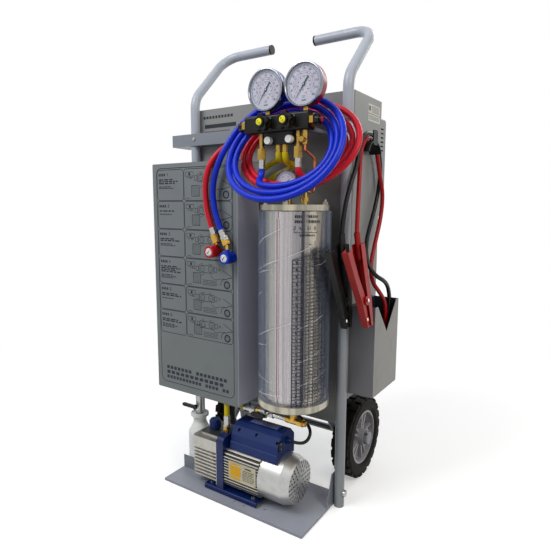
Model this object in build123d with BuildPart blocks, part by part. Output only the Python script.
from build123d import *
import os
from math import cos, pi, radians, sin, sqrt, tan

os.makedirs("parts", exist_ok=True)

# Recharge station for vehicle air conditioning: an upright tube trolley that carries a
# vacuum pump, a charging cylinder and a gauge manifold. Millimetres, +Z up, -Y is the front.
# The origin is at the middle of the footprint, on the floor.

# General
sheet = 1.5
gap = 0.3

# Tube posts with bent grips
post_x = 201.0
post_od = 22.0
post_wall = 2.0
bend_z = 903.0
bend_r = 55.0
grip_z = 1022.5
grip_back = 119.0
grip_bend_r = 42.0
grip_end_x = 62.0
plug_lip = 4.0

# Base plate and wheels
plate_ahead = 142.5
plate_behind = 34.0
plate_thick = 3.0
plate_h = 6.0
wheel_r = 97.0
wheel_w = 48.0
wheel_behind = 147.0
wheel_outer_x = 198.0
rim_r = 64.0
axle_r = 8.0
lug_count = 22

# Charging cylinder, whose base ring is the object's foremost point
cylinder_ahead = 72.0
tank_r = 64.0
shroud_r = 73.5
shroud_wall = 2.0
ring_lip = 0.3
ring_low = 246.5
ring_h = 15.0
cylinder_top = 642.5
cap_r = 69.3
cap_h = 11.0

# The origin lies midway between the ring's front and the back of the wheels
post_y = (cylinder_ahead + shroud_r + ring_lip - wheel_behind - wheel_r) / 2
front_y = post_y - post_od / 2
plate_top = plate_h

# Cabinet behind the posts
cabinet_half = 209.5
cabinet_bottom = 243.0
cabinet_top = 878.0
cabinet_depth = 144.0
cabinet_front = post_y + post_od / 2 + gap
cabinet_back = cabinet_front + cabinet_depth
skirt_drop = 63.0
hood_depth = 43.0
hood_low = 628.0
hood_high = 847.0
hood_half = 204.5

# Shelf, chart box and cable bin
shelf_bottom = 793.0
shelf_lip = 28.0
shelf_behind = 48.0
chart_x0 = -248.5
chart_x1 = 0.3
chart_low = 211.0
chart_high = 745.5
chart_depth = 77.6
chart_standoff = 9.0
chart_back = front_y - chart_standoff
chart_front = chart_back - chart_depth
bin_w = 56.5
shelf_left = cabinet_half + gap + bin_w
bin_low = 256.0
bin_high = 447.0
bin_depth = 135.0
bin_v_w = 108.0
bin_v_drop = 62.0

# Seat of the charging cylinder
cylinder_x = 125.0
cylinder_y = post_y - cylinder_ahead
cap_top = cylinder_top + cap_h

# Vacuum pump, its shaft along X
pump_y = post_y - 68.0
pump_z = 68.0
foot_x0 = -82.0
foot_x1 = 63.0
foot_w = 106.0
foot_top = 18.0
disc_x0 = -47.0
disc_w = 19.0
disc_span = 104.0
disc_top = 140.0
case_len = 77.5
case_low = 28.0
case_high = 127.0
case_span = 92.0
motor_x1 = 66.0
core_r = 42.0
fin_span = 100.0
fin_count = 14
fin_pitch = 6.6
fin_thick = 2.4
cover_r = 54.0
cover_x1 = 141.0
cover_wall = 1.6
shaft_r = 6.0
shaft_gap = 0.05
jbox_x0 = -19.0
jbox_x1 = 104.0
cap_x = -93.0
inlet_x = -41.0
inlet_y = post_y - 88.0

# Oil bottle
bottle_x = -160.0
bottle_y = post_y - 48.0
bottle_r = 28.0
bottle_shoulder = 92.0
bottle_neck_r = 15.0
bottle_top = 142.0

# Manifold and gauges
manifold_y = post_y - 105.0
manifold_z = 806.0
manifold_x0 = 36.0
manifold_x1 = 178.0
manifold_w = 26.0
manifold_h = 34.0
knob_r = 17.0
knob_h = 13.0
end_knob_r = 13.0
gauge_r = 39.5
gauge_depth = 26.0
gauge_face = post_y - 121.0
gauge_z = 868.0
gauge_x = (85.0, 168.0)
knob_x = (85.0, 137.0)
port_x = (68.0, 151.0)
hose_d = 12.5
lead_d = 9.0


def write(builder, name):
    """Labels a finished piece and writes it under the same name."""
    builder.part.label = name
    export_step(builder.part, f"parts/{name}.step")


def behind(x, y, z):
    """A point whose y is counted from the plane of the posts."""
    return (x, post_y + y, z)


def rod(start, end, radius, bore=0):
    """A plain round rod, or a tube, between two points."""
    line = Vector(*end) - Vector(*start)
    with BuildPart() as piece:
        with BuildSketch(Plane(origin=start, z_dir=line)):
            Circle(radius)
            if bore:
                Circle(bore, mode=Mode.SUBTRACT)
        extrude(amount=line.length)
    return piece.part


def route_radii(points):
    """The largest arcs that the runs of a cord's route allow."""
    spots = [Vector(*p) for p in points]
    radii = []
    for a, b, c in zip(spots, spots[1:], spots[2:]):
        turn = radians((b - a).get_angle(c - b))
        radii.append(0.45 * min((b - a).length, (c - b).length) / tan(turn / 2))
    return radii


def cord(name, points, diameter):
    """A cord's plain tube along straight runs joined by tangent arcs."""
    radii = route_radii(points)
    print(name, "arc radii", [round(r) for r in radii])
    with BuildPart() as tube:
        with BuildLine():
            path = FilletPolyline(*points, radius=radii)
        with BuildSketch(Plane(origin=points[0], z_dir=Vector(*points[1]) - Vector(*points[0]))):
            Circle(diameter / 2)
        sweep()
    print(name, "volume ratio", round(tube.part.volume / (pi * diameter**2 / 4 * path.length), 4))
    return tube.part


# Two posts: straight tube, bent back by 45 degrees, then inward to a level grip
for side, name in ((-1, "left_post"), (1, "right_post")):
    foot = (side * post_x, post_y, 0)
    with BuildPart() as post:
        with BuildLine():
            FilletPolyline(
                foot,
                (side * post_x, post_y, bend_z),
                (side * post_x, post_y + grip_back, grip_z),
                (side * grip_end_x, post_y + grip_back, grip_z),
                radius=[bend_r, grip_bend_r],
            )
        with BuildSketch(Plane.XY):
            with Locations((foot[0], foot[1])):
                Circle(post_od / 2)
                Circle(post_od / 2 - post_wall, mode=Mode.SUBTRACT)
        sweep()
    write(post, name)

# End plugs pushed into the open grips
with BuildPart() as grip_plugs:
    for side in (-1, 1):
        with BuildSketch(Plane(origin=(side * grip_end_x, post_y + grip_back, grip_z), z_dir=(-side, 0, 0))):
            Circle(post_od / 2)
        extrude(amount=plug_lip)
        with BuildSketch(Plane(origin=(side * grip_end_x, post_y + grip_back, grip_z), z_dir=(side, 0, 0))):
            Circle(post_od / 2 - post_wall - 0.05)
            Circle(post_od / 2 - post_wall - 2.5, mode=Mode.SUBTRACT)
        extrude(amount=14)
    fillet(grip_plugs.edges().filter_by(GeomType.CIRCLE).group_by(Axis.X)[0], 0.2)
write(grip_plugs, "grip_plugs")

# Base plate: folded sheet with turned-down lips and the pump's spare holes
plate_half = post_x - post_od / 2 - gap
plate_depth = plate_ahead + plate_behind
plate_mid = post_y + (plate_behind - plate_ahead) / 2
spare_holes = ((9, -126), (36, -126), (81, -112))
with BuildPart() as base_plate:
    with BuildSketch(Plane.XY):
        with Locations((0, plate_mid)):
            Rectangle(2 * plate_half, plate_depth)
    extrude(amount=plate_h)
    with BuildSketch(Plane.XY):
        with Locations((0, plate_mid)):
            Rectangle(2 * (plate_half - plate_thick), plate_depth - 2 * plate_thick)
    extrude(amount=plate_h - plate_thick, mode=Mode.SUBTRACT)
    with Locations([(x, post_y + y, plate_h) for x, y in spare_holes]):
        Hole(3)
write(base_plate, "base_plate")

# Brackets welded to the frame: gussets, bottle stop, axle hangers, cylinder and manifold arms
gusset_t = 2.5
hanger_x = 120.0
hanger_t = 4.0
arm_w = 46.0
hanger_tail = 14.0
hanger_rise = 30.0
with BuildPart() as brackets:
    for side in (-1, 1):
        inner = side * (plate_half - gusset_t / 2)
        with BuildSketch(Plane(origin=(inner, 0, 0), x_dir=(0, 1, 0), z_dir=(1, 0, 0))):
            with BuildLine():
                Polyline(
                    (post_y - 36, plate_top),
                    (post_y - 12, plate_top + 68),
                    (post_y + 9, plate_top + 68),
                    (post_y + 9, plate_top),
                    close=True,
                )
            make_face()
        extrude(amount=gusset_t / 2, both=True)
        with BuildSketch(Plane(origin=(side * hanger_x, 0, 0), x_dir=(0, 1, 0), z_dir=(1, 0, 0))):
            axle_y = post_y + wheel_behind
            with BuildLine():
                Polyline(
                    (cabinet_front + sheet, cabinet_bottom + hanger_rise),
                    (cabinet_back - sheet, cabinet_bottom + hanger_rise),
                    (cabinet_back - sheet, cabinet_bottom),
                    (axle_y + hanger_tail, wheel_r - 4),
                    (axle_y + 6, wheel_r - hanger_tail),
                    (axle_y - 6, wheel_r - hanger_tail),
                    (axle_y - hanger_tail, wheel_r - 4),
                    (cabinet_front + sheet, cabinet_bottom),
                    close=True,
                )
            make_face()
            with Locations((axle_y, wheel_r)):
                Circle(axle_r + 0.02, mode=Mode.SUBTRACT)
        extrude(amount=hanger_t / 2, both=True)
    # Angle that stops the oil bottle from sliding forward
    stop_y = bottle_y - bottle_r - gap
    with BuildSketch(Plane(origin=(bottle_x - bottle_r, stop_y, 0), x_dir=(0, 1, 0), z_dir=(1, 0, 0))):
        with BuildLine():
            Polyline((0, plate_top), (0, plate_top + 32), (-1.5, plate_top + 32), (-1.5, plate_top), close=True)
        make_face()
    extrude(amount=2 * bottle_r - 2)
    # Arm under the charging cylinder, with its wall flange and edge ribs
    with BuildSketch(Plane.XY.offset(ring_low - 4)):
        with Locations((cylinder_x, (cylinder_y + cabinet_front) / 2)):
            Rectangle(arm_w, cabinet_front - cylinder_y)
        with Locations((cylinder_x, cylinder_y)):
            Circle(arm_w / 2 + 12)
            Circle(9, mode=Mode.SUBTRACT)
    extrude(amount=4)
    with BuildSketch(Plane.XY.offset(ring_low - 34)):
        with Locations((cylinder_x, cabinet_front - 1.5)):
            Rectangle(arm_w, 3)
        arm_edge = arm_w / 2 - 1.5
        with Locations((cylinder_x - arm_edge, cabinet_front - 22), (cylinder_x + arm_edge, cabinet_front - 22)):
            Rectangle(3, 44)
    extrude(amount=30)
    # Arm that carries the manifold from the shelf's lip
    shelf_front = front_y - gap - sheet
    for x in (manifold_x0 + 18, manifold_x1 - 18):
        with BuildSketch(Plane(origin=(x, 0, 0), x_dir=(0, 1, 0), z_dir=(1, 0, 0))):
            with BuildLine():
                Polyline(
                    (shelf_front, shelf_bottom + 1),
                    (shelf_front, shelf_bottom + 6),
                    (manifold_y + manifold_w / 2, manifold_z - 4),
                    (manifold_y + manifold_w / 2, manifold_z - 14),
                    close=True,
                )
            make_face()
        extrude(amount=2, both=True)
    # Spacers between the chart box and the left post, and straps to the cabinet on its right
    for z in (chart_low + 60, chart_high - 160):
        with BuildSketch(Plane.XY.offset(z)):
            with Locations((-post_x, front_y - chart_standoff / 2)):
                Rectangle(16, chart_standoff)
            with Locations((chart_x1 - 9, (chart_back + cabinet_front) / 2)):
                Rectangle(3, cabinet_front - chart_back)
        extrude(amount=18)
write(brackets, "brackets")

# Folded steel cabinet, open below, with a skirt between the posts
with BuildPart() as cabinet:
    with BuildSketch(Plane.XY.offset(cabinet_bottom)):
        with Locations((0, (cabinet_front + cabinet_back) / 2)):
            RectangleRounded(2 * cabinet_half, cabinet_depth, 3)
    extrude(amount=cabinet_top - cabinet_bottom)
    with BuildSketch(Plane.XY.offset(cabinet_bottom)):
        with Locations((0, (cabinet_front + cabinet_back) / 2)):
            RectangleRounded(2 * (cabinet_half - sheet), cabinet_depth - 2 * sheet, 1.6)
    extrude(amount=cabinet_top - cabinet_bottom - sheet, mode=Mode.SUBTRACT)
    with BuildSketch(Plane.XY.offset(cabinet_bottom - skirt_drop)):
        with Locations((0, cabinet_front + sheet / 2)):
            Rectangle(2 * plate_half - 4, sheet)
    extrude(amount=skirt_drop)
write(cabinet, "cabinet")

# Vented hood on the cabinet's back
vent_count = 6
vent_pitch = 9.4
with BuildPart() as rear_hood:
    with BuildSketch(Plane.XY.offset(hood_low)):
        with Locations((0, cabinet_back + hood_depth / 2)):
            Rectangle(2 * hood_half, hood_depth)
    extrude(amount=hood_high - hood_low)
    fillet(rear_hood.edges().filter_by(Axis.X).group_by(Axis.Y)[-1], 10)
    fillet(rear_hood.edges().filter_by(Axis.Z).group_by(Axis.Y)[-1], 4)
    offset(amount=-1.2, openings=rear_hood.faces().sort_by(Axis.Y)[0])
    for side in (-1, 1):
        slots_z = hood_high - 24 - vent_pitch * (vent_count - 1) / 2
        wall = Plane(origin=(side * hood_half, cabinet_back + 17, slots_z), x_dir=(0, 1, 0), z_dir=(side, 0, 0))
        with BuildSketch(wall):
            with GridLocations(1, vent_pitch, 1, vent_count):
                Rectangle(18, 3.2)
        extrude(amount=-3, mode=Mode.SUBTRACT)
write(rear_hood, "rear_hood")

# Shelf: folded tray that runs past the left post
with BuildPart() as shelf_tray:
    with BuildSketch(Plane.XY.offset(shelf_bottom)):
        with Locations((0, shelf_front + sheet / 2)):
            Rectangle(2 * shelf_left, sheet)
    extrude(amount=shelf_lip)
    lip_depth = post_y + shelf_behind - shelf_front
    wing_w = shelf_left - post_x - post_od / 2 - gap
    wing_mid = shelf_front + lip_depth / 2
    with BuildSketch(Plane.XY.offset(shelf_bottom)):
        with Locations((-shelf_left + wing_w / 2, wing_mid)):
            Rectangle(wing_w, lip_depth)
        with Locations((0, (shelf_front + cabinet_front - gap) / 2)):
            Rectangle(2 * plate_half, cabinet_front - gap - shelf_front)
    extrude(amount=sheet)
    with BuildSketch(Plane.XY.offset(shelf_bottom)):
        with Locations((-shelf_left + sheet / 2, wing_mid)):
            Rectangle(sheet, lip_depth)
    extrude(amount=shelf_lip)
    with BuildSketch(Plane.XY.offset(shelf_bottom)):
        with Locations((shelf_left - 27, shelf_front + sheet / 2)):
            Rectangle(54, 3 * sheet)
    extrude(amount=shelf_lip, mode=Mode.SUBTRACT)
write(shelf_tray, "shelf_tray")

# Chart box: a deep pan whose back is open toward the posts
chart_w = chart_x1 - chart_x0
chart_mid = (chart_x0 + chart_x1) / 2
chart_mid_z = (chart_low + chart_high) / 2
with BuildPart() as instruction_panel:
    with BuildSketch(Plane(origin=(chart_mid, chart_back, chart_mid_z), x_dir=(1, 0, 0), z_dir=(0, -1, 0))):
        RectangleRounded(chart_w, chart_high - chart_low, 3)
    extrude(amount=chart_depth)
    with BuildSketch(Plane(origin=(chart_mid, chart_back, chart_mid_z), x_dir=(1, 0, 0), z_dir=(0, -1, 0))):
        RectangleRounded(chart_w - 2 * sheet, chart_high - chart_low - 2 * sheet, 1.6)
    extrude(amount=chart_depth - sheet, mode=Mode.SUBTRACT)
    # Returned back edges
    for x in (chart_x0 + sheet + 6, chart_x1 - sheet - 6):
        with BuildSketch(Plane.XY.offset(chart_low + sheet)):
            with Locations((x, chart_back - sheet / 2)):
                Rectangle(12, sheet)
        extrude(amount=chart_high - chart_low - 2 * sheet)
    # Window in the floor for the hoses
    with BuildSketch(Plane.XY.offset(chart_low - 1)):
        with Locations((-42, chart_front + 26)):
            RectangleRounded(64, 46, 8)
    extrude(amount=sheet + 2, mode=Mode.SUBTRACT)
write(instruction_panel, "instruction_panel")

# Cable bin: open box on the cabinet's side with a notched outer wall
bin_y0 = cabinet_front + 1.0
bin_mid = (cabinet_half + gap + bin_w / 2, bin_y0 + bin_depth / 2)
bin_sheet = 1.2
with BuildPart() as cable_bin:
    with BuildSketch(Plane.XY.offset(bin_low)):
        with Locations(bin_mid):
            Rectangle(bin_w, bin_depth)
    extrude(amount=bin_high - bin_low)
    with BuildSketch(Plane.XY.offset(bin_low + bin_sheet)):
        with Locations(bin_mid):
            Rectangle(bin_w - 2 * bin_sheet, bin_depth - 2 * bin_sheet)
    extrude(amount=bin_high - bin_low, mode=Mode.SUBTRACT)
    outer_wall = (bin_mid[0] + bin_w / 2 - 4, bin_mid[1], bin_high)
    with BuildSketch(Plane(origin=outer_wall, x_dir=(0, 1, 0), z_dir=(1, 0, 0))):
        with BuildLine():
            Polyline((-bin_v_w / 2, 1), (0, -bin_v_drop), (bin_v_w / 2, 1), close=True)
        make_face()
    extrude(amount=8, mode=Mode.SUBTRACT)
write(cable_bin, "cable_bin")

# Cable hook: moulded block with a curved steel saddle and a keeper loop
hook_c = (cabinet_half, post_y + 62.0, 748.0)
saddle_r = 36.0
saddle_w = 26.0
with BuildPart() as cable_hook:
    with BuildSketch(Plane(origin=hook_c, x_dir=(0, 1, 0), z_dir=(1, 0, 0))):
        with BuildLine():
            inner_arc = CenterArc((0, 0), saddle_r - 2.5, 20, 140)
            outer_arc = CenterArc((0, 0), saddle_r, 20, 140)
            Line(inner_arc @ 0, outer_arc @ 0)
            Line(inner_arc @ 1, outer_arc @ 1)
        make_face()
    extrude(amount=saddle_w)
    with BuildSketch(Plane(origin=hook_c, x_dir=(0, 1, 0), z_dir=(1, 0, 0))):
        with Locations((0, saddle_r - 10)):
            RectangleRounded(30, 18, 3)
    extrude(amount=12)
    # Upstand that keeps the leads on the saddle
    saddle_end = (hook_c[0] + saddle_w, hook_c[1], hook_c[2])
    with BuildSketch(Plane(origin=saddle_end, x_dir=(0, 1, 0), z_dir=(1, 0, 0))):
        with Locations((0, saddle_r + 6)):
            RectangleRounded(22, 30, 5)
    extrude(amount=-2.5)
write(cable_hook, "cable_hook")

# Fasteners that show: foot bolts, shelf screws, pump bolts
with BuildPart() as frame_screws:
    for side in (-1, 1):
        with BuildSketch(Plane(origin=(side * (post_x + post_od / 2), post_y, 32), z_dir=(side, 0, 0))):
            Circle(7)
        extrude(amount=4.5)
        lip_screw = (side * (post_x - 6), shelf_front, shelf_bottom + shelf_lip / 2 + 2)
        with BuildSketch(Plane(origin=lip_screw, z_dir=(0, -1, 0))):
            Circle(4)
        extrude(amount=2)
    for x in (foot_x0 + 12, foot_x1 - 17):
        for y in (pump_y - foot_w / 2 + 14, pump_y + foot_w / 2 - 14):
            with BuildSketch(Plane.XY.offset(foot_top)):
                with Locations((x, y)):
                    RegularPolygon(5, 6)
            extrude(amount=3.5)
write(frame_screws, "frame_screws")

# Axle with a push-on cap at each end
cap_gap = 0.5
with BuildPart() as axle:
    reach = wheel_outer_x + 6
    add(rod((-reach, axle_y, wheel_r), (reach, axle_y, wheel_r), axle_r))
    for side in (-1, 1):
        axle_end = (side * (wheel_outer_x + cap_gap), axle_y, wheel_r)
        with BuildSketch(Plane(origin=axle_end, z_dir=(side, 0, 0))):
            Circle(17)
        extrude(amount=9, taper=12)
    fillet(axle.edges().group_by(Axis.X)[0], 1.5)
    fillet(axle.edges().group_by(Axis.X)[-1], 1.5)
write(axle, "axle")

# Wheels: a lugged tyre on a spoked rim
hub_r = 20.0
rim_w = 38.0
rim_wall = 5.0
spoke_pairs = 5
for side, word in ((-1, "left"), (1, "right")):
    centre = side * (wheel_outer_x - wheel_w / 2)
    face = Plane(origin=(centre, axle_y, wheel_r), x_dir=(0, 1, 0), z_dir=(1, 0, 0))
    with BuildPart() as tyre:
        with BuildSketch(Plane(origin=(centre, axle_y, wheel_r), x_dir=(1, 0, 0), z_dir=(0, -1, 0))):
            with BuildLine():
                Polyline(
                    (-wheel_w / 2 + 4, rim_r),
                    (-wheel_w / 2, rim_r + 8),
                    (-wheel_w / 2 + 1, wheel_r - 10),
                    (-wheel_w / 2 + 7, wheel_r - 4.5),
                    (wheel_w / 2 - 7, wheel_r - 4.5),
                    (wheel_w / 2 - 1, wheel_r - 10),
                    (wheel_w / 2, rim_r + 8),
                    (wheel_w / 2 - 4, rim_r),
                    close=True,
                )
            make_face()
        revolve(axis=Axis((centre, axle_y, wheel_r), (1, 0, 0)))
        for half, turn in ((-1, 0), (1, 180 / lug_count)):
            with BuildSketch(face.offset(half * wheel_w / 4)):
                Circle(wheel_r)
                Circle(wheel_r - 6, mode=Mode.SUBTRACT)
                with PolarLocations(wheel_r - 2, lug_count, start_angle=turn):
                    Rectangle(14, 9, mode=Mode.SUBTRACT)
            extrude(amount=wheel_w / 4 - 3.5, both=True)
    write(tyre, word + "_tyre")

    with BuildPart() as rim:
        with BuildSketch(face):
            Circle(rim_r - gap / 6)
            Circle(rim_r - rim_wall, mode=Mode.SUBTRACT)
        extrude(amount=rim_w / 2, both=True)
        with BuildSketch(face):
            Circle(hub_r)
        extrude(amount=wheel_w / 2, both=True)
        with BuildSketch(face.offset(side * (rim_w / 2 - 12))):
            for k in range(spoke_pairs):
                with Locations(Rotation(0, 0, 360 / spoke_pairs * k)):
                    spoke_r = (rim_r + hub_r) / 2 - 3
                    with Locations(Pos(spoke_r, 7) * Rot(0, 0, 7), Pos(spoke_r, -7) * Rot(0, 0, -7)):
                        Rectangle(rim_r - hub_r + 2, 5)
        extrude(amount=5, both=True)
        with BuildSketch(face):
            Circle(axle_r + shaft_gap)
        extrude(amount=wheel_w, both=True, mode=Mode.SUBTRACT)
    write(rim, word + "_rim")

# Charging cylinder: tank, end pieces and a clear scale shroud that turns around it
ring_top = ring_low + ring_h
tank_axis = (cylinder_x, cylinder_y)
stud_ring_r = 61.0
stud_count = 4
stud_turn = -75
with BuildPart() as cylinder_tank:
    with BuildSketch(Plane.XY.offset(ring_top)):
        with Locations(tank_axis):
            Circle(tank_r)
    extrude(amount=cylinder_top - ring_top)
    fillet(cylinder_tank.edges().filter_by(GeomType.CIRCLE), 2)
    # Level glass let into the tank's front
    with BuildSketch(Plane.XY.offset(ring_top + 14)):
        with Locations(tank_axis):
            with PolarLocations(tank_r, 1, start_angle=-88):
                Circle(3.2)
    extrude(amount=cylinder_top - ring_top - 30)
write(cylinder_tank, "cylinder_tank")

with BuildPart() as cylinder_ends:
    with BuildSketch(Plane.XY.offset(ring_low)):
        with Locations(tank_axis):
            Circle(shroud_r + ring_lip)
    extrude(amount=ring_h)
    chamfer(cylinder_ends.edges().filter_by(GeomType.CIRCLE).group_by(Axis.Z)[0], 2)
    with BuildSketch(Plane.XY.offset(cylinder_top)):
        with Locations(tank_axis):
            Circle(cap_r)
    extrude(amount=cap_h)
    with BuildSketch(Plane.XY.offset(cap_top)):
        with Locations(tank_axis):
            with PolarLocations(stud_ring_r, stud_count, start_angle=stud_turn):
                RegularPolygon(6, 6)
    extrude(amount=5)
    with BuildSketch(Plane.XY.offset(cap_top)):
        with Locations(tank_axis):
            with PolarLocations(stud_ring_r, stud_count, start_angle=stud_turn):
                Circle(3)
    extrude(amount=10)
write(cylinder_ends, "cylinder_ends")

with BuildPart() as cylinder_shroud:
    with BuildSketch(Plane.XY.offset(ring_top + gap)):
        with Locations(tank_axis):
            Circle(shroud_r)
            Circle(shroud_r - shroud_wall, mode=Mode.SUBTRACT)
    extrude(amount=cylinder_top - ring_top - 2 * gap)
    # Turned-in rim that guides the shroud on the tank
    with BuildSketch(Plane.XY.offset(ring_top + gap)):
        with Locations(tank_axis):
            Circle(shroud_r - shroud_wall)
            Circle(tank_r + 4, mode=Mode.SUBTRACT)
    extrude(amount=3)
write(cylinder_shroud, "cylinder_shroud")

# Fittings on the cylinder's cap: pressure gauge, valve body and copper line
tank_gauge_c = (107.0, post_y - 56.0, 696.0)
tank_gauge_r = 26.0
tank_valve_x = 146.0
tank_valve_y = post_y - 69.0
line_top_z = 764.0
with BuildPart() as tank_fittings:
    with BuildSketch(Plane(origin=tank_gauge_c, z_dir=(0, -1, 0))):
        Circle(tank_gauge_r)
    extrude(amount=22)
    fillet(tank_fittings.edges().group_by(Axis.Y)[-1], 4)
    dial_front = (tank_gauge_c[0], tank_gauge_c[1] - 22, tank_gauge_c[2])
    with BuildSketch(Plane(origin=dial_front, z_dir=(0, -1, 0))):
        Circle(tank_gauge_r - 2.5)
    extrude(amount=-2, mode=Mode.SUBTRACT)
    stem_foot = (tank_gauge_c[0], tank_gauge_c[1] - 10, cap_top)
    add(rod(stem_foot, (tank_gauge_c[0], tank_gauge_c[1] - 10, 672), 6))
    add(rod((tank_valve_x, tank_valve_y, cap_top), (tank_valve_x, tank_valve_y, cap_top + 34), 6))
    add(rod((tank_valve_x, tank_valve_y, cap_top + 6), (tank_valve_x, tank_valve_y, cap_top + 14), 9))
    # Copper line up to the manifold
    with BuildLine():
        FilletPolyline(
            (tank_valve_x + 6, tank_valve_y, cap_top + 24),
            (tank_valve_x + 20, tank_valve_y, cap_top + 24),
            (tank_valve_x + 20, tank_valve_y, line_top_z - 22),
            (tank_valve_x + 20, manifold_y, line_top_z - 10),
            (tank_valve_x + 20, manifold_y, line_top_z),
            radius=[8, 12, 3],
        )
    with BuildSketch(Plane(origin=(tank_valve_x + 6, tank_valve_y, cap_top + 24), z_dir=(1, 0, 0))):
        Circle(2.5)
    sweep()
write(tank_fittings, "tank_fittings")

with BuildPart() as tank_valve_handle:
    handle_z = cap_top + 34 + gap
    with BuildSketch(Plane.XY.offset(handle_z)):
        with Locations((tank_valve_x, tank_valve_y)):
            Circle(10)
            with PolarLocations(11, 6):
                Circle(3, mode=Mode.SUBTRACT)
    extrude(amount=9)
    fillet(tank_valve_handle.edges().group_by(Axis.Z)[-1], 1)
write(tank_valve_handle, "tank_valve_handle")

# Vacuum pump foot: folded channel
foot_len = foot_x1 - foot_x0
with BuildPart() as pump_foot:
    with BuildSketch(Plane(origin=(foot_x0, pump_y, 0), x_dir=(0, 1, 0), z_dir=(1, 0, 0))):
        with Locations((0, (plate_top + foot_top) / 2)):
            RectangleRounded(foot_w, foot_top - plate_top, 3)
        with Locations((0, (plate_top + foot_top) / 2 - 3)):
            Rectangle(foot_w - 5, foot_top - plate_top, mode=Mode.SUBTRACT)
    extrude(amount=foot_len)
write(pump_foot, "pump_foot")

# Centre plate between oil case and motor
with BuildPart() as pump_plate:
    with BuildSketch(Plane(origin=(disc_x0, pump_y, 0), x_dir=(0, 1, 0), z_dir=(1, 0, 0))):
        with Locations((0, (foot_top + disc_top) / 2)):
            Rectangle(disc_span, disc_top - foot_top)
    extrude(amount=disc_w)
    fillet(pump_plate.edges().filter_by(Axis.X).group_by(Axis.Z)[-1], 14)
    with BuildSketch(Plane(origin=(disc_x0 + disc_w, pump_y, pump_z), x_dir=(0, 1, 0), z_dir=(1, 0, 0))):
        Circle(shaft_r + shaft_gap)
    extrude(amount=-disc_w + 3, mode=Mode.SUBTRACT)
write(pump_plate, "pump_plate")

# Oil case: a smooth band above stacked cooling ribs, stepped top and filler boss
case_mid_x = disc_x0 - case_len / 2
rib_count = 8
rib_pitch = 8.4
rib_t = 3.6
with BuildPart() as oil_case:
    with BuildSketch(Plane.XY.offset(case_low)):
        with Locations((case_mid_x, pump_y)):
            RectangleRounded(case_len, case_span, 9)
        with Locations((disc_x0 - 5, pump_y)):
            Rectangle(10, case_span)
    extrude(amount=case_high - case_low - 14)
    with BuildSketch(Plane.XY.offset(case_high - 14)):
        with Locations((case_mid_x, pump_y)):
            RectangleRounded(case_len, case_span, 9)
    extrude(amount=9)
    with BuildSketch(Plane.XY.offset(case_high - 5)):
        with Locations((case_mid_x + 4, pump_y + 6)):
            RectangleRounded(case_len - 12, case_span - 24, 6)
    extrude(amount=5)
    # Grooves leave the ribs standing
    for k in range(rib_count):
        with BuildSketch(Plane.XY.offset(case_low + 4 + k * rib_pitch)):
            with Locations((case_mid_x - 10, pump_y)):
                Rectangle(case_len + 12, case_span + 10)
                RectangleRounded(case_len + 8 - 18, case_span - 10, 7, mode=Mode.SUBTRACT)
        extrude(amount=rib_pitch - rib_t, mode=Mode.SUBTRACT)
    with BuildSketch(Plane.XY.offset(case_high)):
        with Locations((cap_x, pump_y)):
            Circle(11)
    extrude(amount=2.5)
    # Screwed rim against the centre plate
    with BuildSketch(Plane(origin=(disc_x0 - 4, pump_y, 0), x_dir=(0, 1, 0), z_dir=(1, 0, 0))):
        with Locations((0, (case_low + case_high) / 2 - 4)):
            Rectangle(case_span + 6, case_high - case_low + 4)
    extrude(amount=4)
write(oil_case, "oil_case")

with BuildPart() as oil_cap:
    with BuildSketch(Plane.XY.offset(case_high + 2.5 + gap)):
        with Locations((cap_x, pump_y)):
            Circle(14)
            with PolarLocations(14.6, 16):
                Circle(1.6, mode=Mode.SUBTRACT)
    extrude(amount=18)
    with BuildSketch(Plane.XY.offset(case_high + 2.5 + gap + 18)):
        with Locations((cap_x, pump_y)):
            Circle(12)
    extrude(amount=4, taper=15)
write(oil_cap, "oil_cap")

# Finned motor body with a nameplate pad
motor_x0 = disc_x0 + disc_w
motor_len = motor_x1 - motor_x0
with BuildPart() as motor_body:
    with BuildSketch(Plane(origin=(motor_x0, pump_y, pump_z), x_dir=(0, 1, 0), z_dir=(1, 0, 0))):
        RectangleRounded(fin_span, fin_pitch * fin_count, 22)
        with GridLocations(1, fin_pitch, 1, fin_count + 1):
            Rectangle(fin_span + 4, fin_pitch - fin_thick, mode=Mode.SUBTRACT)
        Circle(core_r)
        Circle(shaft_r + shaft_gap, mode=Mode.SUBTRACT)
    extrude(amount=motor_len)
    with BuildSketch(Plane(origin=(25, pump_y - fin_span / 2 - 1.5, 73), x_dir=(1, 0, 0), z_dir=(0, 1, 0))):
        Rectangle(74, 44)
    extrude(amount=14)
write(motor_body, "motor_body")

# Fan cover: spun shell with a bevelled rim and a slotted grille
slot_rings = ((14, 8), (24, 14), (34, 20), (42, 26))
with BuildPart() as fan_cover:
    with BuildSketch(Plane(origin=(0, pump_y, pump_z), x_dir=(1, 0, 0), z_dir=(0, -1, 0))):
        with BuildLine():
            Polyline(
                (motor_x1 + gap, core_r + 4),
                (motor_x1 + gap, cover_r),
                (cover_x1 - 22, cover_r),
                (cover_x1 - 4, cover_r - 6),
                (cover_x1, cover_r - 8),
                (cover_x1, 0),
                (cover_x1 - cover_wall, 0),
                (cover_x1 - cover_wall, cover_r - 9),
                (cover_x1 - 5, cover_r - 8),
                (cover_x1 - 23, cover_r - cover_wall),
                (motor_x1 + gap + 2, cover_r - cover_wall),
                (motor_x1 + gap + 2, core_r + 4),
                close=True,
            )
        make_face()
    revolve(axis=Axis((0, pump_y, pump_z), (1, 0, 0)))
    with BuildSketch(Plane(origin=(cover_x1, pump_y, pump_z), x_dir=(0, 1, 0), z_dir=(1, 0, 0))):
        for ring, count in slot_rings:
            with PolarLocations(ring, count):
                Rectangle(6.4, 3.0)
    extrude(amount=-4, mode=Mode.SUBTRACT)
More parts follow.
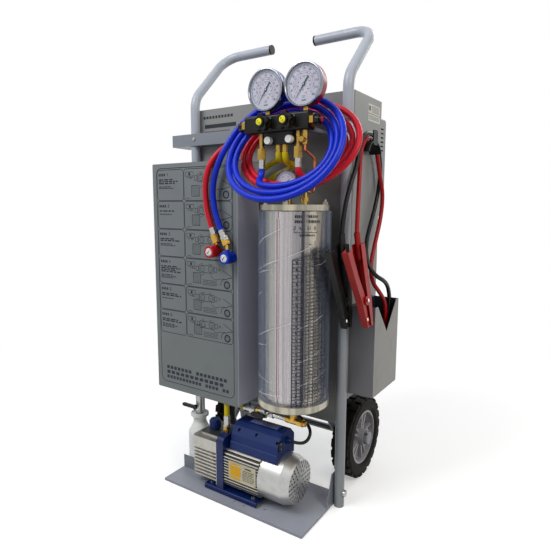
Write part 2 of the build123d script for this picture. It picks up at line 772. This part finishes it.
write(fan_cover, "fan_cover")

# Rotor: shaft through the motor, and the fan under its cover
blade_count = 7
fan_x = 118.0
with BuildPart() as motor_rotor:
    add(rod((motor_x0 + 2, pump_y, pump_z), (fan_x + 12, pump_y, pump_z), shaft_r))
    with BuildSketch(Plane(origin=(fan_x - 12, pump_y, pump_z), x_dir=(0, 1, 0), z_dir=(1, 0, 0))):
        Circle(14)
        with PolarLocations(27, blade_count):
            Rectangle(36, 2.4, rotation=12)
    extrude(amount=18)
write(motor_rotor, "motor_rotor")

# Junction box saddled on the motor, with its cable gland
jbox_low = 113.0
jbox_high = 171.0
jbox_front = pump_y - 37
jbox_back = pump_y + 38
gland_y = pump_y + 6
gland_z = 150.0
switch_y = pump_y - 20
switch_z = 146.0
switch_pin_x = jbox_x1 - 3
switch_pin_r = 1.2
with BuildPart() as junction_box:
    with BuildSketch(Plane(origin=(jbox_x0, 0, 0), x_dir=(0, 1, 0), z_dir=(1, 0, 0))):
        with BuildLine():
            Polyline(
                (jbox_front, jbox_low),
                (jbox_front + 1, jbox_low + 16),
                (jbox_front + 4, jbox_low + 18),
                (jbox_front + 6, jbox_high - 24),
                (jbox_front + 16, jbox_high - 7),
                (jbox_front + 28, jbox_high),
                (jbox_back - 16, jbox_high),
                (jbox_back, jbox_high - 18),
                (jbox_back, jbox_low),
                close=True,
            )
        make_face()
    extrude(amount=jbox_x1 - jbox_x0)
    fillet(junction_box.edges().filter_by(Axis.Z), 3)
    with BuildSketch(Plane(origin=(jbox_x0 - 1, pump_y, pump_z), x_dir=(0, 1, 0), z_dir=(1, 0, 0))):
        Circle(cover_r + gap)
    extrude(amount=jbox_x1 - jbox_x0 + 2, mode=Mode.SUBTRACT)
    # Screw wells in the sloping front
    for x in (-1, 46):
        with BuildSketch(Plane(origin=(x, jbox_front + 11, jbox_high - 13), z_dir=(0, -0.8, 0.6)).offset(8)):
            Circle(4.2)
        extrude(amount=-14, mode=Mode.SUBTRACT)
    # Ribbed back of the lid
    for k in range(6):
        with BuildSketch(Plane.XY.offset(jbox_high)):
            with Locations(((jbox_x0 + jbox_x1) / 2 + 4, jbox_front + 32 + k * 4.2)):
                Rectangle(84, 1.6)
        extrude(amount=1)
    with BuildSketch(Plane(origin=(jbox_x1, switch_y, switch_z), x_dir=(0, 1, 0), z_dir=(1, 0, 0))):
        Rectangle(16, 22)
    extrude(amount=-7, mode=Mode.SUBTRACT)
    # Bearings of the rocker's pin
    with BuildSketch(Plane(origin=(switch_pin_x, switch_y, switch_z), x_dir=(1, 0, 0), z_dir=(0, -1, 0))):
        Circle(switch_pin_r + gap)
    extrude(amount=9.8, both=True, mode=Mode.SUBTRACT)
    add(rod((jbox_x1, gland_y, gland_z), (jbox_x1 + 5, gland_y, gland_z), 8, 3.5))
    add(rod((jbox_x1 + 5, gland_y, gland_z), (jbox_x1 + 12, gland_y, gland_z), 6, 3.5))
write(junction_box, "junction_box")

with BuildPart() as power_switch:
    with BuildSketch(Plane(origin=(0, switch_y, 0), x_dir=(1, 0, 0), z_dir=(0, -1, 0))):
        with BuildLine():
            Polyline(
                (jbox_x1 - 3.4, switch_z - 8.6),
                (jbox_x1 + 2.6, switch_z - 9.6),
                (jbox_x1 + 1.2, switch_z),
                (jbox_x1 + 1.6, switch_z + 9.6),
                (jbox_x1 - 3.4, switch_z + 8.6),
                close=True,
            )
        make_face()
    extrude(amount=8 - gap, both=True)
    with BuildSketch(Plane(origin=(switch_pin_x, switch_y, switch_z), x_dir=(1, 0, 0), z_dir=(0, -1, 0))):
        Circle(switch_pin_r)
    extrude(amount=9.4, both=True)
write(power_switch, "power_switch")

# Pump inlet: stub, nut and hose ferrule on the centre plate
inlet_top = disc_top + 40.0
with BuildPart() as brass_fittings:
    add(rod((inlet_x, inlet_y, disc_top), (inlet_x, inlet_y, disc_top + 6), 5.5))
    with BuildSketch(Plane.XY.offset(disc_top + 6)):
        with Locations((inlet_x, inlet_y)):
            RegularPolygon(8.5, 6)
    extrude(amount=13)
    add(rod((inlet_x, inlet_y, disc_top + 19), (inlet_x, inlet_y, inlet_top), 7.2))
# Oil bottle, its valve and lever
bottle_wall = 1.6
with BuildPart() as oil_bottle:
    with BuildSketch(Plane(origin=(bottle_x, bottle_y, 0), x_dir=(1, 0, 0), z_dir=(0, -1, 0))):
        with BuildLine():
            outer = Polyline(
                (0, plate_top),
                (bottle_r - 3, plate_top),
                (bottle_r, plate_top + 3),
                (bottle_r, bottle_shoulder),
            )
            curve = Spline(
                outer @ 1,
                (bottle_r - 6, bottle_shoulder + 17),
                (bottle_neck_r + 1, bottle_shoulder + 30),
                tangents=((0, 1), (-0.5, 1)),
            )
            Polyline(
                curve @ 1,
                (bottle_neck_r + 1, bottle_top - 8),
                (bottle_neck_r + 7, bottle_top - 4),
                (bottle_neck_r + 7, bottle_top + 2),
                (0, bottle_top + 2),
                (0, plate_top),
            )
        make_face()
        with BuildLine():
            Polyline(
                (0, plate_top + bottle_wall),
                (bottle_r - 3, plate_top + bottle_wall),
                (bottle_r - bottle_wall, plate_top + 4),
                (bottle_r - bottle_wall, bottle_shoulder),
                (bottle_r - 8, bottle_shoulder + 15),
                (bottle_neck_r - 3, bottle_shoulder + 30),
                (bottle_neck_r - 3, bottle_top + 2),
                (0, bottle_top + 2),
                close=True,
            )
        make_face(mode=Mode.SUBTRACT)
    revolve(axis=Axis((bottle_x, bottle_y, 0), (0, 0, 1)))
write(oil_bottle, "oil_bottle")

valve_r = 9.4
lever_z = 163.0
with BuildPart() as bottle_valve:
    plug_low = (bottle_x, bottle_y, bottle_top - 14)
    add(rod(plug_low, (bottle_x, bottle_y, bottle_top + 2 + gap), bottle_neck_r - 3.1))
    add(rod((bottle_x, bottle_y, bottle_top + 2 + gap), (bottle_x, bottle_y, chart_low - 9), valve_r))
    with BuildSketch(Plane.XY.offset(chart_low - 9)):
        with Locations((bottle_x, bottle_y)):
            RegularPolygon(13, 6)
    extrude(amount=9 - gap)
    add(rod((bottle_x, bottle_y, lever_z), (bottle_x, bottle_y - valve_r - 5, lever_z), 4.5))
write(bottle_valve, "bottle_valve")

with BuildPart() as bottle_lever:
    pivot = (bottle_x, bottle_y - valve_r - 5 - gap, lever_z)
    with BuildSketch(Plane(origin=pivot, x_dir=(1, 0, 0), z_dir=(0, -1, 0))):
        Circle(6)
        with Locations((-18, 0)):
            SlotOverall(44, 8)
    extrude(amount=5)
write(bottle_lever, "bottle_lever")

# Ball valve and tee under the charging cylinder
valve_y = cylinder_y
valve_z = 203.0
valve_x = 46.0
branch_x = cylinder_x
with BuildPart() as ball_valve:
    add(rod((-2, valve_y, valve_z), (16, valve_y, valve_z), 7.2))
    with BuildSketch(Plane(origin=(16, valve_y, valve_z), z_dir=(1, 0, 0))):
        RegularPolygon(9.5, 6)
    extrude(amount=13)
    add(rod((29, valve_y, valve_z), (valve_x + 62, valve_y, valve_z), 5))
    with BuildSketch(Plane(origin=(valve_x - 11, valve_y, valve_z), z_dir=(1, 0, 0))):
        RegularPolygon(12, 8)
    extrude(amount=22)
    add(rod((valve_x, valve_y, valve_z), (valve_x, valve_y - 15, valve_z), 5))
    with BuildSketch(Plane(origin=(valve_x + 18, valve_y, valve_z), z_dir=(1, 0, 0))):
        RegularPolygon(8, 6)
    extrude(amount=12)
    add(rod((valve_x + 62, valve_y, valve_z), (branch_x + 12, valve_y, valve_z), 7))
    add(rod((branch_x, valve_y, valve_z), (branch_x, valve_y, ring_low), 7))
    with BuildSketch(Plane(origin=(branch_x + 12, valve_y, valve_z), z_dir=(1, 0, 0))):
        RegularPolygon(9, 6)
    extrude(amount=12)
    add(rod((branch_x + 24, valve_y, valve_z), (branch_x + 31, valve_y, valve_z), 6))
write(ball_valve, "ball_valve")

with BuildPart() as ball_valve_handle:
    with BuildSketch(Plane(origin=(valve_x, valve_y - 15 - gap, valve_z), x_dir=(1, 0, 0), z_dir=(0, -1, 0))):
        SlotOverall(34, 9)
        Circle(7.5)
    extrude(amount=5)
write(ball_valve_handle, "ball_valve_handle")

# Manifold body: bar, valve bosses and the parking bar below
manifold_front = manifold_y - manifold_w / 2
boss_r = 12.0
boss_h = 8.0
end_nut_h = 9.0
bar_low = 766.0
with BuildPart() as manifold_body:
    with BuildSketch(Plane(origin=(manifold_x0, manifold_y, manifold_z), x_dir=(0, 1, 0), z_dir=(1, 0, 0))):
        RectangleRounded(manifold_w, manifold_h, 6)
    extrude(amount=manifold_x1 - manifold_x0)
    for x in knob_x:
        add(rod((x, manifold_y, manifold_z), (x, manifold_front - boss_h, manifold_z), boss_r))
        with BuildSketch(Plane(origin=(x, manifold_y, manifold_z), x_dir=(0, 1, 0), z_dir=(1, 0, 0))):
            RectangleRounded(manifold_w + 4, manifold_h - 5, 8)
        extrude(amount=15, both=True)
    with BuildSketch(Plane.XY.offset(bar_low)):
        with Locations(((port_x[0] + port_x[1]) / 2 + 1, manifold_y)):
            Rectangle(65, 14)
    extrude(amount=manifold_z - bar_low)
write(manifold_body, "manifold_body")

# Brass on the manifold: stems, ports, nuts, bonnet rings, parked caps and the filler valve
stem_y = manifold_y - 3
gauge_low = gauge_z - gauge_r
body_top = manifold_z + manifold_h / 2
body_low = manifold_z - manifold_h / 2
port_nut_top = 761.0
port_end = 723.0
centre_port_x = (107.0, 122.0)
centre_port_end = 752.0
filler_x = tank_valve_x + 20
with brass_fittings:
    for x in gauge_x:
        add(rod((x, stem_y, body_top), (x, stem_y, gauge_low + 1.2), 5))
    for x in port_x:
        add(rod((x, manifold_y, port_nut_top), (x, manifold_y, body_low), 5))
        with BuildSketch(Plane.XY.offset(port_nut_top)):
            with Locations((x, manifold_y)):
                RegularPolygon(9, 6)
        extrude(amount=-21)
        add(rod((x, manifold_y, port_end), (x, manifold_y, port_nut_top - 21), 6.6))
    for x in centre_port_x:
        add(rod((x, manifold_y, centre_port_end), (x, manifold_y, bar_low), 5.5))
    for x in knob_x:
        ring_back = (x, manifold_front - 3.6, manifold_z)
        add(rod((x, manifold_front - boss_h + 0.6, manifold_z), ring_back, boss_r + 2.5, boss_r + 0.1))
    for x, way in ((manifold_x0, -1), (manifold_x1, 1)):
        with BuildSketch(Plane(origin=(x, manifold_y, manifold_z), z_dir=(way, 0, 0))):
            RegularPolygon(12, 6)
        extrude(amount=end_nut_h)
    for x in (92, 139):
        add(rod((x, manifold_y - 7, 774), (x, manifold_y - 17, 774), 7))
    add(rod((filler_x, manifold_y, line_top_z), (filler_x, manifold_y, body_low), 6))
    add(rod((filler_x, manifold_y, 772), (filler_x, manifold_y - 15, 772), 5))
write(brass_fittings, "brass_fittings")

# Four fluted hand knobs
flutes = 5


def hand_knob(name, centre, outward, radius):
    """A fluted knob whose back stands at centre and whose axis points outward."""
    with BuildPart() as knob:
        back = Plane(origin=centre, z_dir=outward)
        with BuildSketch(back):
            Circle(radius)
            with PolarLocations(radius * 1.22, flutes):
                Circle(radius * 0.46, mode=Mode.SUBTRACT)
        extrude(amount=knob_h - 3)
        fillet(knob.edges().filter_by(GeomType.CIRCLE).sort_by(Axis(centre, outward))[-flutes * 2:], 1.2)
        with BuildSketch(back):
            Circle(radius * 0.55)
        extrude(amount=knob_h)
    write(knob, name)


for x, name in zip(knob_x, ("low_side_knob", "high_side_knob")):
    hand_knob(name, (x, manifold_front - boss_h - gap, manifold_z), (0, -1, 0), knob_r)
left_end = (manifold_x0 - end_nut_h - gap, manifold_y, manifold_z)
hand_knob("vacuum_knob", left_end, (-1, 0, 0), end_knob_r - 2)
hand_knob("charge_knob", (manifold_x1 + end_nut_h + gap, manifold_y, manifold_z), (1, 0, 0), end_knob_r - 2)

# Gauges: cup, lens and a pointer on its own arbor
dial_r = 36.0
dial_recess = 5.0
arbor_r = 1.2
needle_turn = 35
for x, name in zip(gauge_x, ("low_gauge", "high_gauge")):
    with BuildPart() as gauge:
        with BuildSketch(Plane(origin=(x, gauge_face, gauge_z), z_dir=(0, -1, 0))):
            Circle(gauge_r)
        extrude(amount=-gauge_depth)
        fillet(gauge.edges().group_by(Axis.Y)[-1], 4)
        chamfer(gauge.edges().group_by(Axis.Y)[0], 1.2)
        with BuildSketch(Plane(origin=(x, gauge_face, gauge_z), z_dir=(0, -1, 0))):
            Circle(dial_r)
        extrude(amount=-dial_recess, mode=Mode.SUBTRACT)
        with BuildSketch(Plane(origin=(x, gauge_face + dial_recess, gauge_z), z_dir=(0, -1, 0))):
            Circle(arbor_r + 0.06)
        extrude(amount=-4, mode=Mode.SUBTRACT)
        with BuildSketch(Plane(origin=(x, gauge_face + 0.8, gauge_z), z_dir=(0, -1, 0))):
            Circle(dial_r - 0.1)
        extrude(amount=-1.2)
    write(gauge, name)
    with BuildPart() as needle:
        with BuildSketch(Plane(origin=(x, gauge_face + 4.6, gauge_z), x_dir=(1, 0, 0), z_dir=(0, -1, 0))):
            Circle(3.6)
            with Locations(Rot(0, 0, -needle_turn)):
                with Locations((0, 9)):
                    Trapezoid(2.6, 34, 88.4)
        extrude(amount=0.9)
        with BuildSketch(Plane(origin=(x, gauge_face + 8.4, gauge_z), z_dir=(0, -1, 0))):
            Circle(arbor_r)
        extrude(amount=4.2)
    write(needle, name.replace("gauge", "needle"))

# Hose coils hung round the manifold: rings of oval outline that lean back at the top
coil_lean = 0.5
coil_thick = 21.0
coil_ring = 22.0
coil_plane_dir = (0, -1, coil_lean)
coils = (
    ("blue_coil", behind(116, -106, 755), 140, 108),
    ("red_coil", behind(130, -60, 762), 128, 100),
)
for name, centre, half_w, half_h in coils:
    with BuildPart() as coil:
        with BuildSketch(Plane(origin=centre, x_dir=(1, 0, 0), z_dir=coil_plane_dir)):
            Ellipse(half_w, half_h)
            Ellipse(half_w - coil_ring, half_h - coil_ring, mode=Mode.SUBTRACT)
        extrude(amount=coil_thick / 2, both=True)
    write(coil, name)

# Hose ends that leave the coils: a stub to its port and a tail to its coupler
blue_stub = [behind(*p) for p in ((68, -105, 723), (68, -105, 712), (69, -116.5, 698), (73, -136, 682))]
red_stub = [behind(*p) for p in ((151, -105, 723), (151, -105, 709), (150, -97, 694))]
blue_tail = [
    behind(*p)
    for p in (
        (-9, -102, 768),
        (-30, -110, 750),
        (-47, -113, 714),
        (-54, -112, 680),
        (-50, -112, 648),
        (-42, -112, 622),
        (-31, -112, 600),
    )
]
red_tail = [
    behind(*p)
    for p in (
        (16, -58, 766),
        (-12, -60, 780),
        (-40, -78, 778),
        (-61, -105, 756),
        (-72, -110, 716),
        (-77, -109, 684),
        (-75, -108, 652),
        (-69, -108, 626),
        (-60, -108, 604),
    )
]
for name, stub, tail in (("blue_hose", blue_stub, blue_tail), ("red_hose", red_stub, red_tail)):
    with BuildPart() as hose:
        add(cord(name + " stub", stub, hose_d))
        add(cord(name + " tail", tail, hose_d))
    write(hose, name)

# Quick couplers: ferrule, nut and a body with a turning rim
coupler_body_r = 13.0
for name, tail, centre in (
    ("blue_coupler", blue_tail, behind(-13, -113.5, 543)),
    ("red_coupler", red_tail, behind(-54, -113.5, 554)),
):
    end = Vector(*tail[-1])
    way = (end - Vector(*tail[-2])).normalized()
    nut_start = end + way * 15
    nut_end = nut_start + way * 19
    with BuildPart() as coupler:
        add(rod(tuple(end), tuple(nut_start), 7.2))
        with BuildSketch(Plane(origin=nut_start, z_dir=way)):
            RegularPolygon(9.2, 6)
        extrude(amount=19)
        add(rod(tuple(nut_end), centre, 4.6))
        front = Plane(origin=(centre[0], centre[1] - 14, centre[2]), z_dir=(0, 1, 0))
        with BuildSketch(front):
            Circle(coupler_body_r)
        extrude(amount=11)
        with BuildSketch(front):
            Circle(coupler_body_r - 3)
        extrude(amount=16)
        with BuildSketch(front.offset(14)):
            Circle(coupler_body_r - 0.6)
        extrude(amount=14)
        chamfer(coupler.edges().filter_by(GeomType.CIRCLE).group_by(Axis.Y)[0], 1)
    write(coupler, name)

# Yellow hoses that run up behind the chart box to the manifold
vacuum_route = [
    (inlet_x, inlet_y, inlet_top),
    behind(-41, -88, 240),
    behind(-41, -80, 320),
    behind(-40, -62, 420),
    behind(-37, -40, 530),
    behind(-28, -14, 630),
    behind(-12, -5, 684),
    behind(28, -5, 714),
    behind(84, -28, 726),
    behind(118, -66, 732),
    behind(122, -105, 733),
    (centre_port_x[1], manifold_y, centre_port_end),
]
charge_route = [
    (-2, valve_y, valve_z),
    behind(-24, -72, 203),
    behind(-43, -70, 222),
    behind(-52, -66, 252),
    behind(-56, -62, 310),
    behind(-56, -54, 410),
    behind(-54, -36, 520),
    behind(-50, -12, 610),
    behind(-42, -4, 672),
    behind(-22, -4, 716),
    behind(14, -4, 740),
    behind(62, -24, 750),
    behind(96, -66, 748),
    behind(107, -105, 735),
    (centre_port_x[0], manifold_y, centre_port_end),
]
with BuildPart() as yellow_hoses:
    add(cord("vacuum hose", vacuum_route, hose_d))
    add(cord("charge hose", charge_route, hose_d))
write(yellow_hoses, "yellow_hoses")

# Pump cable from the gland to the cabinet
cable_route = [
    (jbox_x1 + 12, gland_y, gland_z),
    behind(134, -62, 150),
    behind(150, -56, 156),
    behind(152, -42, 170),
    behind(138, -30, 182),
    behind(114, -24, 190),
    behind(92, -20, 202),
    behind(76, -9, 224),
    (76, cabinet_front, 224),
]
with BuildPart() as pump_cable:
    add(cord("pump cable", cable_route, 7))
write(pump_cable, "pump_cable")

# Jumper leads over the hook: from each clamp, over the saddle and down into the bin
saddle_y, saddle_z = hook_c[1] - post_y, hook_c[2]
clamp_sleeve = 22.0
clamp_len = 165.0
clamps = {
    "black": (Vector(*behind(216, -42, 577)), Vector(*behind(224, -32, 412))),
    "red": (Vector(*behind(240, -22, 578)), Vector(*behind(258, -6, 414))),
}


def over_saddle(x, radius):
    """Corners of a route that lies on the saddle."""
    k = tan(radians(22.5)) * radius
    return [
        behind(x, saddle_y - radius, saddle_z + k),
        behind(x, saddle_y - k, saddle_z + radius),
        behind(x, saddle_y + k, saddle_z + radius),
        behind(x, saddle_y + radius, saddle_z + k),
    ]


lead_ends = {}
for colour, (top, tip) in clamps.items():
    lead_ends[colour] = top - (tip - top).normalized() * clamp_sleeve
red_lead_r = saddle_r + lead_d / 2 + 1
black_lead_r = red_lead_r + lead_d + 1
black_route = (
    [tuple(lead_ends["black"])]
    + [behind(*p) for p in ((215, -37, 640), (218, -20, 690), (222, 3, 732))]
    + over_saddle(222, black_lead_r)
    + [
        behind(*p)
        for p in (
            (219, 134, 738),
            (216, 138, 700),
            (216, 121, 656),
            (216, 94, 612),
            (219, 64, 572),
            (232, 44, 532),
            (249, 50, 507),
            (256, 82, 494),
            (253, 115, 476),
            (251, 132, 446),
            (249, 133, 402),
            (246, 128, 356),
            (234, 124, 320),
        )
    ]
    + [(cabinet_half + gap + bin_sheet, post_y + 124, 320)]
)
red_route = (
    [tuple(lead_ends["red"])]
    + [behind(*p) for p in ((234, -15, 642), (227, 4, 690), (222, 17, 730))]
    + over_saddle(222, red_lead_r)
    + [
        behind(*p)
        for p in (
            (224, 116, 722),
            (228, 130, 680),
            (228, 124, 630),
            (228, 98, 580),
            (230, 68, 532),
            (236, 60, 494),
            (246, 86, 466),
            (249, 113, 440),
            (249, 116, 396),
            (245, 110, 348),
            (234, 104, 306),
        )
    ]
    + [(cabinet_half + gap + bin_sheet, post_y + 104, 306)]
)
for name, route in (("black_lead", black_route), ("red_lead", red_route)):
    with BuildPart() as lead:
        add(cord(name, route, lead_d))
    write(lead, name)

# Battery clamps: a channel arm on the lead and a second arm hinged to it
pin_at = (112.0, 9.0)
pin_r = 2.5
for colour, (top, tip) in clamps.items():
    along = (tip - top).normalized()
    forward = Vector(0, -1, 0)
    spread = (forward - along * forward.dot(along)).normalized()
    normal = along.cross(spread)
    side_plane = Plane(origin=top, x_dir=along, z_dir=normal)
    with BuildPart() as clamp:
        with BuildSketch(side_plane):
            with BuildLine():
                Polyline(
                    (0, -9),
                    (0, 9),
                    (60, 8),
                    (100, 6),
                    (clamp_len, 3),
                    (clamp_len + 1, -4),
                    (140, -9),
                    (112, -12),
                    (60, -10),
                    close=True,
                )
            make_face()
        extrude(amount=10, both=True)
        with BuildSketch(side_plane):
            with BuildLine():
                Polyline((-1, -6), (-1, 12), (96, 12), (96, -9.8), (60, -8), close=True)
            make_face()
            with BuildLine():
                Polyline((126, -6), (126, 12), (clamp_len + 4, 12), (clamp_len - 6, -1.6), close=True)
            make_face()
        extrude(amount=8.4, both=True, mode=Mode.SUBTRACT)
        with BuildSketch(side_plane):
            with BuildLine():
                Polyline((95, -10), (95, 14), (127, 14), (127, -8), close=True)
            make_face()
        extrude(amount=7.4, both=True, mode=Mode.SUBTRACT)
        for way in (-1, 1):
            with BuildSketch(side_plane.offset(way * 8.7)):
                with Locations(pin_at):
                    Circle(9)
            extrude(amount=1.3, both=True)
        with BuildSketch(side_plane):
            with Locations(pin_at):
                Circle(pin_r)
        extrude(amount=12, both=True)
        add(rod(tuple(top - along * clamp_sleeve), tuple(top + along * 30), 6.2))
    write(clamp, colour + "_clamp")
    with BuildPart() as jaw:
        with BuildSketch(side_plane):
            with BuildLine():
                Polyline(
                    (8, 64),
                    (3, 47),
                    (60, 29),
                    (100, 11),
                    (clamp_len, 4.2),
                    (clamp_len + 2, 12),
                    (140, 20),
                    (112, 27),
                    (60, 47),
                    close=True,
                )
            make_face()
            with Locations(pin_at):
                Circle(7)
                Circle(pin_r + shaft_gap, mode=Mode.SUBTRACT)
        extrude(amount=6.8, both=True)
        with BuildSketch(side_plane):
            with BuildLine():
                Polyline((-4, 42), (4, 62.5), (60, 45.2), (94, 30), (92, 8), close=True)
            make_face()
            with BuildLine():
                Polyline((126, 0), (126, 21), (140, 18.2), (clamp_len - 4, 10.5), (clamp_len + 8, 0))
                Line((clamp_len + 8, 0), (126, 0))
            make_face()
        extrude(amount=5.4, both=True, mode=Mode.SUBTRACT)
    write(jaw, colour + "_clamp_jaw")
